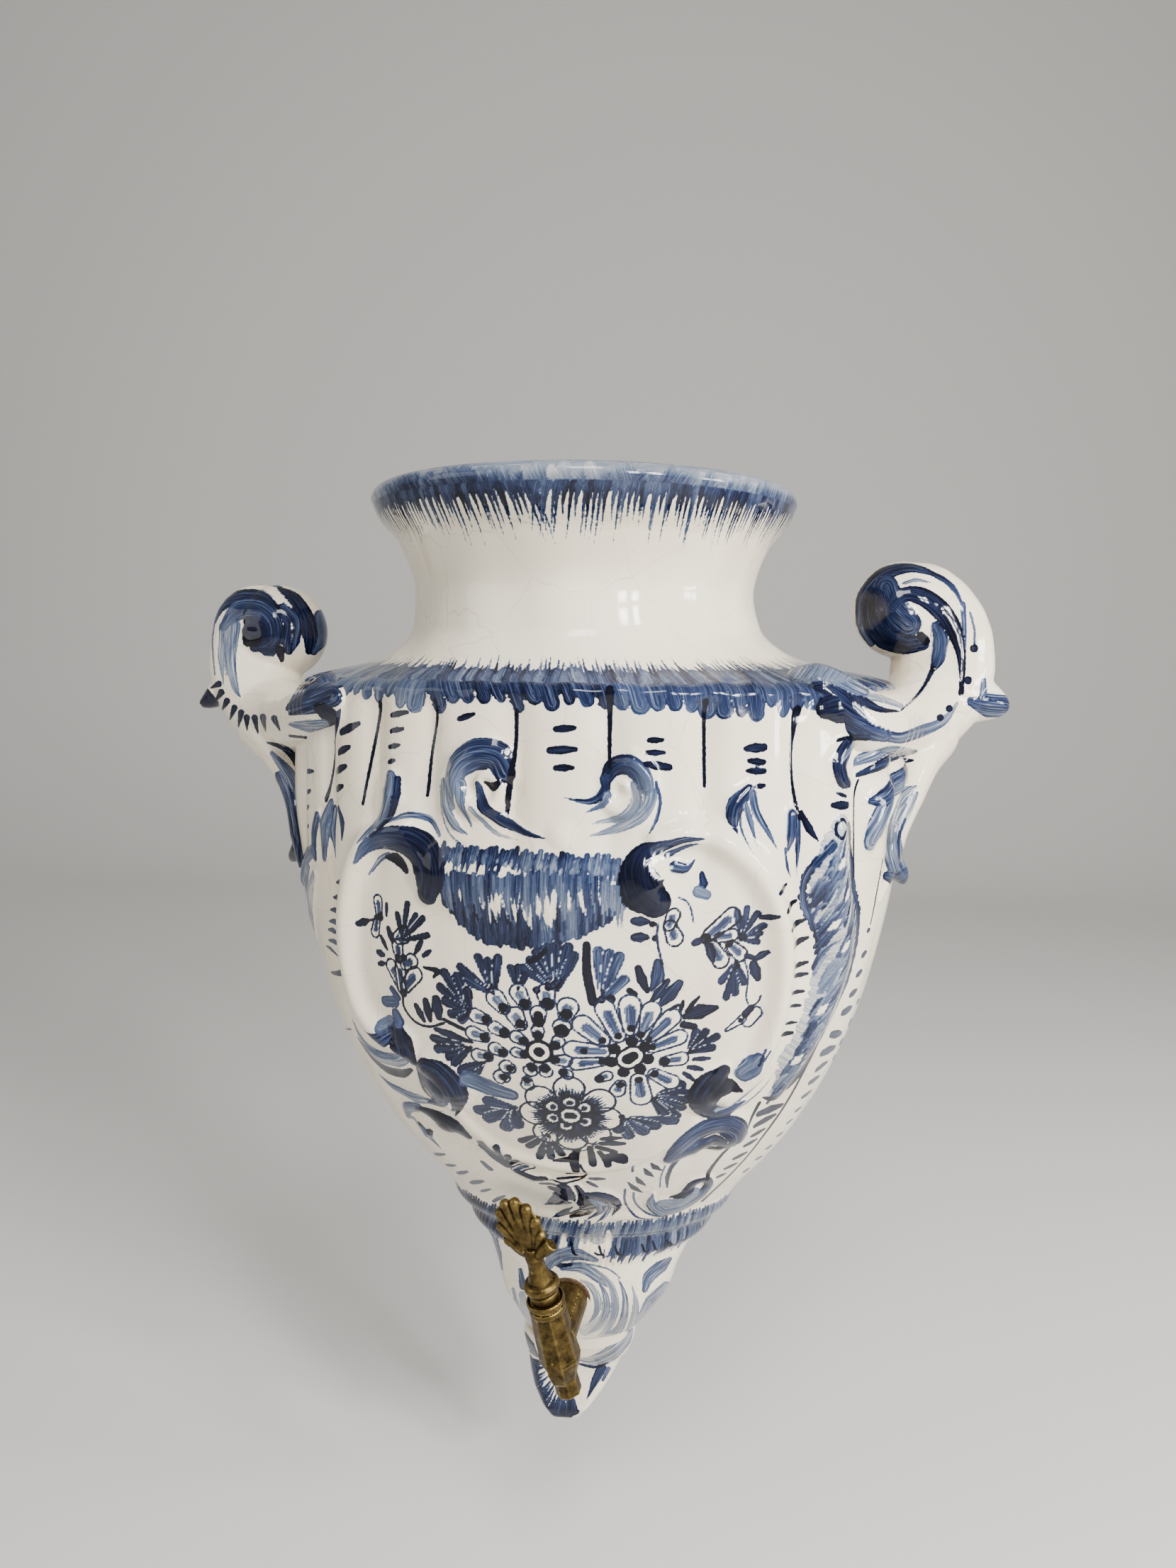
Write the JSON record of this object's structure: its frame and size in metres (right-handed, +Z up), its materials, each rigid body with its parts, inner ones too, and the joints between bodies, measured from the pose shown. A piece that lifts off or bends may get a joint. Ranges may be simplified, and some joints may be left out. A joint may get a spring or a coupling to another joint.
{
  "type": "wall cistern",
  "caption": "Small glazed earthenware water cistern that hangs flat against a wall, with a fluted belly, scroll handles, a moulded panel and a brass tap with a shell key.",
  "frame": {"origin": "on the back plane, midway between the two hanging holes", "axes": "+Z up, +Y into the wall, +X to the right of a person who faces the cistern"},
  "size_m": [0.2737, 0.1353, 0.338],
  "materials": {
    "glazed_earthenware": "cream tin glaze painted in cobalt blue, glossy and finely crazed",
    "tap_brass": "cast brass, aged to a dull brown with rubbed edges",
    "bush_cork": "turned cork, damp and dark",
    "washer_leather": "greased leather"
  },
  "bodies": {
    "cistern": {"vessel_shell": "glazed_earthenware", "back_plate": "glazed_earthenware", "tail_leaf": "glazed_earthenware", "handle_right": "glazed_earthenware", "handle_left": "glazed_earthenware", "tap_body": "tap_brass", "gland_nut": "tap_brass", "shank_bush": "bush_cork", "inner_washer": "washer_leather", "back_nut": "tap_brass"},
    "key": {"tap_key": "tap_brass", "tap_plug": "tap_brass"}
  },
  "joints": [
    {"name": "tap_turn", "type": "hinge", "parent": "cistern", "child": "key", "pos_m": [-0.00559, -0.07361, -0.2264], "axis": [-0.191, -0.1933, 0.9624], "range_deg": [0, 90]}
  ]
}
